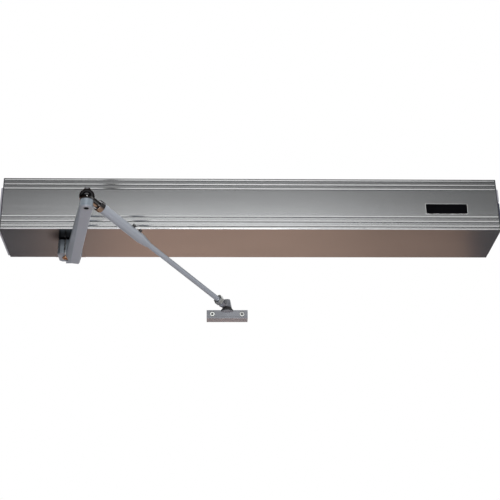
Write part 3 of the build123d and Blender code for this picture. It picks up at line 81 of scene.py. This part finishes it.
# Materials
class Surface:
    """A material built round one Principled shader."""

    def __init__(self, name, metallic=0.0):
        self.material = bpy.data.materials.new(name)
        self.material.use_nodes = True
        self.tree = self.material.node_tree
        self.shader = self.tree.nodes["Principled BSDF"]
        self.shader.inputs["Metallic"].default_value = metallic
        self.coordinates = self.tree.nodes.new("ShaderNodeTexCoord")
        self.height = None

    def link(self, source, target):
        self.tree.links.new(source, target)

    def mapped(self, stretch):
        mapping = self.tree.nodes.new("ShaderNodeMapping")
        mapping.inputs["Scale"].default_value = stretch
        self.link(self.coordinates.outputs["Object"], mapping.inputs["Vector"])
        return mapping.outputs["Vector"]

    def noise(self, scale, detail, rough=0.55, stretch=(1, 1, 1)):
        node = self.tree.nodes.new("ShaderNodeTexNoise")
        node.inputs["Scale"].default_value = scale
        node.inputs["Detail"].default_value = detail
        node.inputs["Roughness"].default_value = rough
        self.link(self.mapped(stretch), node.inputs["Vector"])
        return node.outputs["Fac"]

    def speckle(self, scale):
        node = self.tree.nodes.new("ShaderNodeTexVoronoi")
        node.inputs["Scale"].default_value = scale
        self.link(self.coordinates.outputs["Object"], node.inputs["Vector"])
        return node.outputs["Distance"]

    def ramp(self, source, low, high, from_low=0.35, from_high=0.65):
        node = self.tree.nodes.new("ShaderNodeMapRange")
        node.inputs["From Min"].default_value = from_low
        node.inputs["From Max"].default_value = from_high
        node.inputs["To Min"].default_value = low
        node.inputs["To Max"].default_value = high
        self.link(source, node.inputs["Value"])
        return node.outputs["Result"]

    def colour(self, source, dark, light):
        node = self.tree.nodes.new("ShaderNodeMix")
        node.data_type = "RGBA"
        node.inputs["A"].default_value = (*dark, 1)
        node.inputs["B"].default_value = (*light, 1)
        self.link(self.ramp(source, 0, 1), node.inputs["Factor"])
        self.link(node.outputs["Result"], self.shader.inputs["Base Color"])

    def rough(self, source, low, high):
        self.link(self.ramp(source, low, high), self.shader.inputs["Roughness"])

    def bump(self, source, depth, strength=1.0):
        node = self.tree.nodes.new("ShaderNodeBump")
        node.inputs["Distance"].default_value = depth
        node.inputs["Strength"].default_value = strength
        self.link(source, node.inputs["Height"])
        if self.height:
            self.link(self.height, node.inputs["Normal"])
        self.height = node.outputs["Normal"]
        self.link(self.height, self.shader.inputs["Normal"])

    def bands(self, source, stops, low, high):
        """Colours that change with a value: stops are pairs of a value between low and high and a colour."""
        band = self.tree.nodes.new("ShaderNodeValToRGB")
        places = band.color_ramp.elements
        while len(places) < len(stops):
            places.new(0.5)
        for place, (value, colour) in zip(places, stops):
            place.position = (value - low) / (high - low)
            place.color = (*colour, 1)
        self.link(self.ramp(source, 0, 1, low, high), band.inputs["Fac"])
        return band.outputs["Color"]

    def by_slope(self, stops):
        """Scales the colour by how far the surface faces up: stops are pairs of a share and a colour."""
        split = self.tree.nodes.new("ShaderNodeSeparateXYZ")
        self.link(self.coordinates.outputs["Normal"], split.inputs["Vector"])
        band = self.bands(split.outputs["Z"], stops, -1, 1)
        tint = self.tree.nodes.new("ShaderNodeVectorMath")
        tint.operation = "MULTIPLY"
        base = self.shader.inputs["Base Color"]
        self.link(base.links[0].from_socket, tint.inputs[0])
        self.link(band, tint.inputs[1])
        self.link(tint.outputs["Vector"], base)

    def spot(self, place, axes, inner, outer, below=None, level=0.04):
        """Scales the colour round a point by a level, with the distance weighted along each axis.

        Where a height is given, only what lies below it is changed.
        """
        offset = self.tree.nodes.new("ShaderNodeVectorMath")
        offset.operation = "SUBTRACT"
        offset.inputs[1].default_value = place
        self.link(self.coordinates.outputs["Object"], offset.inputs[0])
        flat = self.tree.nodes.new("ShaderNodeVectorMath")
        flat.operation = "MULTIPLY"
        flat.inputs[1].default_value = axes
        self.link(offset.outputs["Vector"], flat.inputs[0])
        reach = self.tree.nodes.new("ShaderNodeVectorMath")
        reach.operation = "LENGTH"
        self.link(flat.outputs["Vector"], reach.inputs[0])
        fade = self.tree.nodes.new("ShaderNodeMapRange")
        fade.interpolation_type = "SMOOTHSTEP"
        fade.inputs["From Min"].default_value = inner
        fade.inputs["From Max"].default_value = outer
        fade.inputs["To Min"].default_value = level
        fade.inputs["To Max"].default_value = 1.0
        self.link(reach.outputs["Value"], fade.inputs["Value"])
        factor = fade.outputs["Result"]
        if below is not None:
            split = self.tree.nodes.new("ShaderNodeSeparateXYZ")
            self.link(self.coordinates.outputs["Object"], split.inputs["Vector"])
            above = self.tree.nodes.new("ShaderNodeMath")
            above.operation = "GREATER_THAN"
            above.inputs[1].default_value = below
            self.link(split.outputs["Z"], above.inputs[0])
            either = self.tree.nodes.new("ShaderNodeMath")
            either.operation = "MAXIMUM"
            self.link(above.outputs[0], either.inputs[0])
            self.link(factor, either.inputs[1])
            factor = either.outputs[0]
        dark = self.tree.nodes.new("ShaderNodeVectorMath")
        dark.operation = "SCALE"
        colour = self.shader.inputs["Base Color"]
        self.link(colour.links[0].from_socket, dark.inputs[0])
        self.link(factor, dark.inputs["Scale"])
        self.link(dark.outputs["Vector"], colour)


def shade(colour, factor):
    return tuple(min(1.0, part * factor) for part in colour)


def metal(name, colour, rough, grain=260, spread=0.12, depth=0.00004):
    """A bare or plated metal: cloudy tint, fine grain and uneven gloss."""
    surface = Surface(name, metallic=1.0)
    fine = surface.noise(grain, 6, 0.6)
    cloud = surface.noise(14, 3, 0.5)
    surface.colour(cloud, shade(colour, 1 - spread), shade(colour, 1 + spread))
    surface.rough(fine, rough * 0.82, rough * 1.2)
    surface.bump(fine, depth)
    return surface


def paint(name, colour, rough):
    """A silver grey stove enamel with a little orange peel and fine flakes."""
    surface = Surface(name, metallic=0.3)
    peel = surface.noise(420, 3, 0.5)
    flake = surface.noise(5200, 2, 0.7)
    cloud = surface.noise(22, 4, 0.5)
    surface.colour(flake, shade(colour, 0.9), shade(colour, 1.12))
    surface.rough(cloud, rough * 0.85, rough * 1.2)
    surface.bump(peel, 0.00006)
    surface.shader.inputs["Coat Weight"].default_value = 0.12
    surface.shader.inputs["Coat Roughness"].default_value = 0.2
    return surface


def plastic(name, colour, rough, grain=900, depth=0.00005):
    """A moulded plastic with a fine spark-eroded grain."""
    surface = Surface(name)
    fine = surface.noise(grain, 4, 0.6)
    cloud = surface.noise(30, 3, 0.5)
    surface.colour(cloud, shade(colour, 0.85), shade(colour, 1.18))
    surface.rough(fine, rough * 0.85, rough * 1.15)
    surface.bump(fine, depth)
    return surface


def rubber(name, colour=(0.018, 0.018, 0.019)):
    """Matt rubber with dust in its pores."""
    surface = Surface(name)
    pores = surface.speckle(900)
    dust = surface.noise(60, 5, 0.6)
    surface.colour(dust, colour, shade(colour, 1.9))
    surface.rough(dust, 0.55, 0.75)
    surface.bump(pores, 0.00005, 0.6)
    return surface


def anodised(name, colour, rough):
    """Extruded and satin anodised aluminium: die lines along X over a fine matt etch."""
    surface = Surface(name, metallic=1.0)
    lines = surface.noise(900, 5, 0.65, stretch=(0.001, 1, 1))
    etch = surface.noise(2600, 3, 0.6)
    cloud = surface.noise(5, 4, 0.55, stretch=(0.35, 1, 1))
    surface.colour(cloud, shade(colour, 0.94), shade(colour, 1.06))
    surface.rough(lines, rough * 0.9, rough * 1.12)
    surface.bump(lines, 0.0000006)
    surface.bump(etch, 0.000002)
    return surface


# Places on the part that the finishes refer to, in metres
ELBOW_X = -0.294
ELBOW_Y = -0.31
SOCKET_HEIGHT = -0.0665
OPENING = (-0.357, -0.100, 0)
COVER_UNDERSIDE = -0.0545
HUB_EARS = (-0.372, -0.092, -0.068)
SHOE_X = -0.0468
SHOE_SCREW_HEIGHT = -0.1853
SHOE_SCREW_REACH = 0.029

PLAIN = (1.0, 1.0, 1.0)

# Anodised cover: painted shade on the slopes that face up, and a painted shadow on the underside round the
# spindle's opening
COVER_PAINTED_SHADE = (0.22, 0.22, 0.23)
COVER = anodised("cover_alu", (0.47, 0.48, 0.485), 0.155)
# Painted shade on the slopes that face up
COVER.by_slope([
    (-1.0, PLAIN),
    (0.05, PLAIN),
    (0.2, COVER_PAINTED_SHADE),
    (0.9, COVER_PAINTED_SHADE),
    (0.98, PLAIN),
])
# Painted shadow on the underside round the spindle's opening
COVER.spot(OPENING, (1, 1, 0), 0.008, 0.044, below=COVER_UNDERSIDE, level=0.03)

ARM_GREY = (0.37, 0.40, 0.45)
PAINT = paint("arm_paint", ARM_GREY, 0.40)

# Chrome: painted reflections by surface direction, warm where it faces down and dark elsewhere, with one
# painted highlight as a bright glint
CHROME = metal("chrome", (0.95, 0.94, 0.93), 0.08, grain=60, spread=0.05, depth=0.000004)
CHROME.by_slope([
    (-1.0, (0.82, 0.54, 0.40)),
    (-0.92, (0.76, 0.49, 0.35)),
    (-0.85, (0.14, 0.10, 0.085)),
    (-0.60, (0.07, 0.068, 0.07)),
    (-0.50, (0.30, 0.29, 0.29)),
    (-0.40, (0.11, 0.11, 0.11)),
    (-0.30, (0.03, 0.03, 0.031)),
    (1.0, (0.03, 0.03, 0.032)),
])
# Painted highlight: one bright glint on the socket
CHROME.spot((ELBOW_X, ELBOW_Y, SOCKET_HEIGHT), (1, 0.3, 1), 0.0020, 0.0058, level=9.0)
# Collar chrome: painted reflections by surface direction, warm where it faces down, one light band where it
# faces a little up, dark elsewhere
COLLAR = metal("collar_chrome", (0.95, 0.94, 0.93), 0.1, grain=60, spread=0.05, depth=0.000004)
COLLAR.by_slope([
    (-1.0, (0.55, 0.37, 0.26)),
    (-0.80, (0.55, 0.38, 0.28)),
    (-0.62, (0.30, 0.24, 0.21)),
    (-0.45, (0.04, 0.038, 0.04)),
    (0.14, (0.03, 0.03, 0.031)),
    (0.19, (0.36, 0.36, 0.37)),
    (0.25, (0.36, 0.36, 0.37)),
    (0.30, (0.03, 0.03, 0.031)),
])
for surface in (CHROME, COLLAR):
    surface.shader.inputs["Specular Tint"].default_value = (0.30, 0.28, 0.27, 1)

DARK_PLASTIC = plastic("dark_plastic", (0.032, 0.034, 0.042), 0.45)
TRIM_PLASTIC = plastic("trim_plastic", (0.40, 0.40, 0.45), 0.4)
SWITCH_PLASTIC = plastic("switch_plastic", (0.02, 0.025, 0.06), 0.3)
LABEL = plastic("label_black", (0.004, 0.004, 0.005), 0.4, grain=2400, depth=0.000015)
LABEL.shader.inputs["Specular IOR Level"].default_value = 0.0
BRIGHT = metal("bright_alu", (0.72, 0.72, 0.72), 0.22)
ZINC = metal("galvanised", (0.50, 0.51, 0.52), 0.36, grain=120, spread=0.2)
CAST = metal("cast_alu", (0.42, 0.42, 0.41), 0.5, grain=500, spread=0.15, depth=0.0001)
BLACK_STEEL = plastic("black_steel", (0.022, 0.022, 0.024), 0.38, grain=700)
GEAR_STEEL = metal("gear_steel", (0.42, 0.42, 0.42), 0.3, grain=400)
BRONZE = metal("bronze", (0.50, 0.32, 0.16), 0.42, grain=700)
COPPER = metal("copper_zinc", (0.52, 0.30, 0.17), 0.3, grain=300)
RUBBER = rubber("rubber")
NYLON = plastic("white_nylon", (0.72, 0.71, 0.67), 0.4)
SPRING = metal("spring_steel", (0.22, 0.22, 0.24), 0.42, grain=900, depth=0.00006)
CIRCUIT = plastic("circuit_green", (0.02, 0.12, 0.05), 0.32, grain=300)
SUPPLY = metal("supply_steel", (0.56, 0.57, 0.58), 0.4, grain=100, spread=0.1)
TERMINAL = plastic("terminal_green", (0.03, 0.16, 0.07), 0.4)
CABLE = rubber("cable_black", (0.02, 0.02, 0.02))

# Finishes of single nodes, most of them with painted light and shade
STUD = paint("stud_paint", ARM_GREY, 0.40)
# Painted shade in the stud's hex recess, and a painted highlight as a light crescent in front of it
STUD.spot((ELBOW_X, ELBOW_Y, 0), (1, 1, 0), 0.0044, 0.0049, level=0.02)
STUD.spot((ELBOW_X, ELBOW_Y - 0.006, 0), (0.35, 1, 0), 0.0005, 0.0014, level=1.7)
SHOE_SCREW = metal("screw_zinc", (0.38, 0.39, 0.38), 0.38, grain=120, spread=0.1)
# Painted shade in the socket of each shoe screw head
for side in (-1, 1):
    SHOE_SCREW.spot((SHOE_X + side * SHOE_SCREW_REACH, 0, SHOE_SCREW_HEIGHT), (1, 0, 1), 0.0016, 0.0023)
LOCK_NUT = metal("nut_zinc", (0.60, 0.61, 0.60), 0.32, grain=160)
PIN = metal("pin_zinc", (0.19, 0.195, 0.205), 0.5, grain=160)
# Shoe paint: painted warm reflected light on the faces that face down, painted shade on all the rest
SHOE_PAINTED_WARM_LIGHT = (1.0, 0.93, 0.905)
SHOE_PAINTED_SHADE = (0.56, 0.58, 0.59)
SHOE_PAINT = paint("shoe_paint", (0.355, 0.36, 0.39), 0.42)
SHOE_PAINT.by_slope([
    (-1.0, SHOE_PAINTED_WARM_LIGHT),
    (-0.75, SHOE_PAINTED_WARM_LIGHT),
    (-0.5, SHOE_PAINTED_SHADE),
    (1.0, SHOE_PAINTED_SHADE),
])
# Main arm paint: painted shade on its sides and round the hub's ears
ARM_PAINTED_SHADE = (0.62, 0.66, 0.66)
ARM_SHADED_PAINT = paint("arm_shaded_paint", (0.395, 0.435, 0.50), 0.40)
ARM_SHADED_PAINT.by_slope([
    (-1.0, PLAIN),
    (-0.35, PLAIN),
    (-0.12, ARM_PAINTED_SHADE),
    (0.12, ARM_PAINTED_SHADE),
    (0.35, PLAIN),
])
ARM_SHADED_PAINT.spot(HUB_EARS, (1, 1, 1), 0.014, 0.028, level=0.42)

SINGLE = {
    "door_shoe": SHOE_PAINT,
    "swivel_fork": SHOE_PAINT,
    "ball_stud": STUD,
    "collar_nut": COLLAR,
    "shoe_screws": SHOE_SCREW,
    "rod_lock_nut": LOCK_NUT,
    "pivot_pin": PIN,
    "main_arm": ARM_SHADED_PAINT,
}

FINISHES = {
    "cover_alu": COVER,
    "arm_paint": PAINT,
    "chrome": CHROME,
    "dark_plastic": DARK_PLASTIC,
    "trim_plastic": TRIM_PLASTIC,
    "switch_plastic": SWITCH_PLASTIC,
    "label_black": LABEL,
    "bright_alu": BRIGHT,
    "galvanised": ZINC,
    "cast_alu": CAST,
    "black_steel": BLACK_STEEL,
    "gear_steel": GEAR_STEEL,
    "bronze": BRONZE,
    "copper_zinc": COPPER,
    "rubber": RUBBER,
    "white_nylon": NYLON,
    "spring_steel": SPRING,
    "circuit_green": CIRCUIT,
    "supply_steel": SUPPLY,
    "terminal_green": TERMINAL,
    "cable_black": CABLE,
}


def dress_nodes():
    """Gives each CAD node its own finish where one is listed for it, else the finish that the record names
    for its slot.
    """
    slots = {part["node"]: part["material_slot"] for part in frame["record"]["subparts"]}
    for name, node in frame["nodes"].items():
        node.data.materials.clear()
        node.data.materials.append(SINGLE.get(name, FINISHES[slots[name]]).material)


dress_nodes()


# Rubber pieces
ROUND_STEPS = 72


def ring(mesh, centre, radius, height, back):
    """A ring of vertices round a point, cut flat at its back."""
    points = []
    for turn in range(ROUND_STEPS):
        angle = 2 * math.pi * turn / ROUND_STEPS
        y = min(centre[1] + radius * math.sin(angle), back)
        points.append(mesh.verts.new((centre[0] + radius * math.cos(angle), y, height)))
    return points


def lathe(mesh, centre, back, foot, top, radii, inner):
    """A closed turned ring between two heights, with its outer radii from foot to top."""
    rings = [ring(mesh, centre, inner, foot, back)]
    for step, radius in enumerate(radii):
        rings.append(ring(mesh, centre, radius, foot + (top - foot) * step / (len(radii) - 1), back))
    rings.append(ring(mesh, centre, inner, top, back))
    for lower, upper in zip(rings, rings[1:] + rings[:1]):
        for turn in range(ROUND_STEPS):
            following = (turn + 1) % ROUND_STEPS
            mesh.faces.new((lower[turn], lower[following], upper[following], upper[turn]))


def apron(mesh, centre, radius, face, low, high):
    """The lip of the boot that hangs in front of a face: a round segment between two heights."""
    reach = math.asin((centre[1] - face) / radius)
    rims = []
    for height in (low, high):
        rim = []
        for step in range(ROUND_STEPS // 2 + 1):
            angle = math.pi + reach + (math.pi - 2 * reach) * step / (ROUND_STEPS // 2)
            x = centre[0] + radius * math.cos(angle)
            y = centre[1] + radius * math.sin(angle)
            rim.append(mesh.verts.new((x, y, height)))
        rims.append(rim)
    low_rim, high_rim = rims
    mesh.faces.new(low_rim[::-1])
    mesh.faces.new(high_rim)
    for step in range(len(low_rim)):
        following = (step + 1) % len(low_rim)
        mesh.faces.new((low_rim[step], low_rim[following], high_rim[following], high_rim[step]))


def rubber_piece(name, mesh, node, body):
    bmesh.ops.recalc_face_normals(mesh, faces=mesh.faces)
    data = bpy.data.meshes.new(name)
    mesh.to_mesh(data)
    mesh.free()
    data.shade_smooth()
    data.set_sharp_from_angle(angle=math.radians(40))
    data.materials.append(RUBBER.material)
    piece = bpy.data.objects.new(name, data)
    bpy.context.scene.collection.objects.link(piece)
    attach(piece, body)
    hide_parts(node)


BOOT_STEPS = 30
BOOT_TOP_SHARE = 0.5915
BOOT_FOLDS = 3
BOOT_FOLD_DEPTH = 0.045
BOOT_BORE = 0.0038
BOOT_LIP = 0.002
SHOE_FACE = -0.02


def make_boot():
    """A ribbed rubber cone whose lip hangs over the front of the shoe."""
    low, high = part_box("shoe_boot")
    reach = (high[0] - low[0]) / 2
    centre = ((low[0] + high[0]) / 2, low[1] + reach)
    radii = []
    for step in range(BOOT_STEPS + 1):
        share = step / BOOT_STEPS
        fold = BOOT_FOLD_DEPTH * (1 - math.cos(2 * math.pi * BOOT_FOLDS * share)) / 2
        radii.append(reach * (1 - (1 - BOOT_TOP_SHARE) * share) * (1 - fold))
    mesh = bmesh.new()
    lathe(mesh, centre, high[1], low[2] + BOOT_LIP, high[2], radii, BOOT_BORE)
    apron(mesh, centre, reach, SHOE_FACE, low[2], low[2] + BOOT_LIP)
    rubber_piece("ribbed_boot", mesh, "shoe_boot", "shoe")


SEAL_STEPS = 10
SEAL_BORE = 0.0053
SEAL_ROUNDING = 0.05


def make_seal():
    """A flat sealing ring with a rounded edge."""
    low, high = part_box("elbow_seal")
    reach = (high[0] - low[0]) / 2
    centre = ((low[0] + high[0]) / 2, low[1] + reach)
    radii = []
    for step in range(SEAL_STEPS + 1):
        radii.append(reach * (1 - SEAL_ROUNDING * (2 * step / SEAL_STEPS - 1) ** 4))
    mesh = bmesh.new()
    lathe(mesh, centre, high[1], low[2], high[2], radii, SEAL_BORE)
    rubber_piece("round_seal", mesh, "elbow_seal", "liner")


make_boot()
make_seal()


# Studio
FLOOR_HEIGHT = -2.4
WALL_PLACE = -4.2


def stage_plane(name, size, place, turn, *stops):
    """A plane whose colour changes along its width: stops are pairs of a place and a colour."""
    bpy.ops.mesh.primitive_plane_add(size=1, location=place, rotation=turn)
    plane = bpy.context.object
    plane.name = name
    plane.scale = (size[0], size[1], 1)
    surface = Surface(name)
    split = surface.tree.nodes.new("ShaderNodeSeparateXYZ")
    surface.link(surface.coordinates.outputs["Object"], split.inputs["Vector"])
    shares = [(along / size[0], colour) for along, colour in stops]
    surface.link(surface.bands(split.outputs["X"], shares, -0.5, 0.5), surface.shader.inputs["Base Color"])
    surface.bump(surface.noise(40, 3), 0.0002)
    surface.shader.inputs["Roughness"].default_value = 0.8
    plane.data.materials.append(surface.material)


def area_light(name, place, target, size, power, colour=(1, 1, 1), shape="RECTANGLE"):
    data = bpy.data.lights.new(name, "AREA")
    data.shape = shape
    data.size = size[0]
    data.size_y = size[1]
    data.energy = power
    data.color = colour
    lamp = bpy.data.objects.new(name, data)
    bpy.context.scene.collection.objects.link(lamp)
    lamp.location = place
    lamp.rotation_euler = (Vector(target) - Vector(place)).to_track_quat("-Z", "Y").to_euler()
    lamp.visible_camera = False


def make_world():
    world = bpy.data.worlds.new("studio")
    bpy.context.scene.world = world
    world.use_nodes = True
    tree = world.node_tree
    tree.nodes.clear()
    rays = tree.nodes.new("ShaderNodeLightPath")
    seen = tree.nodes.new("ShaderNodeMath")
    seen.operation = "MAXIMUM"
    tree.links.new(rays.outputs["Is Camera Ray"], seen.inputs[0])
    tree.links.new(rays.outputs["Is Glossy Ray"], seen.inputs[1])
    shown = tree.nodes.new("ShaderNodeMath")
    shown.operation = "MAXIMUM"
    tree.links.new(seen.outputs[0], shown.inputs[0])
    tree.links.new(rays.outputs["Is Transmission Ray"], shown.inputs[1])
    strength = tree.nodes.new("ShaderNodeMapRange")
    strength.inputs["To Min"].default_value = 0.55
    strength.inputs["To Max"].default_value = 1.0
    tree.links.new(shown.outputs[0], strength.inputs["Value"])
    background = tree.nodes.new("ShaderNodeBackground")
    background.inputs["Color"].default_value = (1, 1, 1, 1)
    tree.links.new(strength.outputs["Result"], background.inputs["Strength"])
    output = tree.nodes.new("ShaderNodeOutputWorld")
    tree.links.new(background.outputs[0], output.inputs["Surface"])


make_world()
UPRIGHT = (math.radians(90), 0, 0)
SIDEWAYS = (0, math.radians(90), 0)
LEVEL = (0, 0, 0)
CARD_HEIGHT = FLOOR_HEIGHT + 0.75
stage_plane("studio_floor", (18, 18), (0, 0, FLOOR_HEIGHT), LEVEL,
            (-9, (0.62, 0.60, 0.58)), (9, (0.60, 0.59, 0.57)))
# The wall's colour is a painted pool of light: brightest near the middle, darker to both sides
stage_plane("studio_wall", (18, 8), (0, WALL_PLACE, FLOOR_HEIGHT + 4), UPRIGHT,
            (-1.4, (0.30, 0.30, 0.304)), (-0.2, (0.48, 0.48, 0.485)), (0.5, (0.44, 0.44, 0.444)),
            (0.9, (0.355, 0.355, 0.358)), (1.4, (0.215, 0.215, 0.218)))
stage_plane("left_flag", (2.8, 4.0), (-1.75, -0.2, FLOOR_HEIGHT + 1.4), SIDEWAYS,
            (-1.4, (0.05, 0.05, 0.05)), (1.4, (0.048, 0.048, 0.05)))
stage_plane("low_backdrop", (9, 1.6), (0, 3.0, CARD_HEIGHT), UPRIGHT,
            (-4.5, (0.13, 0.125, 0.14)), (4.5, (0.125, 0.12, 0.135)))
# The warm card's colour holds painted light and shade: dark at its left end, brightest just right of that,
# dimmer towards the right
stage_plane("warm_card", (2.4, 1.6), (0.02, 2.95, CARD_HEIGHT), UPRIGHT,
            (-1.08, (0.16, 0.15, 0.16)), (-0.48, (0.64, 0.43, 0.34)), (0.35, (0.60, 0.41, 0.32)),
            (0.75, (0.49, 0.335, 0.265)), (1.05, (0.44, 0.30, 0.24)))
area_light("softbox", (0.0, -4.0, 0.92), (0.0, 0, 0.92), (4.6, 1.75), 56, shape="ELLIPSE")
area_light("floor_card", (0.0, -3.0, -2.3), (0.0, -1.0, -0.2), (3.8, 1.2), 10.6, shape="ELLIPSE")
area_light("front_fill", (0.0, -2.15, -0.72), (0, 0, -0.1), (0.44, 0.44), 10)
area_light("low_fill", (0.0, -1.1, -1.95), (-0.1, -0.1, -0.05), (2.0, 0.9), 14, colour=(1.0, 0.93, 0.98))
area_light("card_light", (0.1, 0.9, -1.9), (0.1, 2.95, -1.5), (1.6, 0.3), 16)

bpy.context.scene.view_settings.view_transform = "Standard"
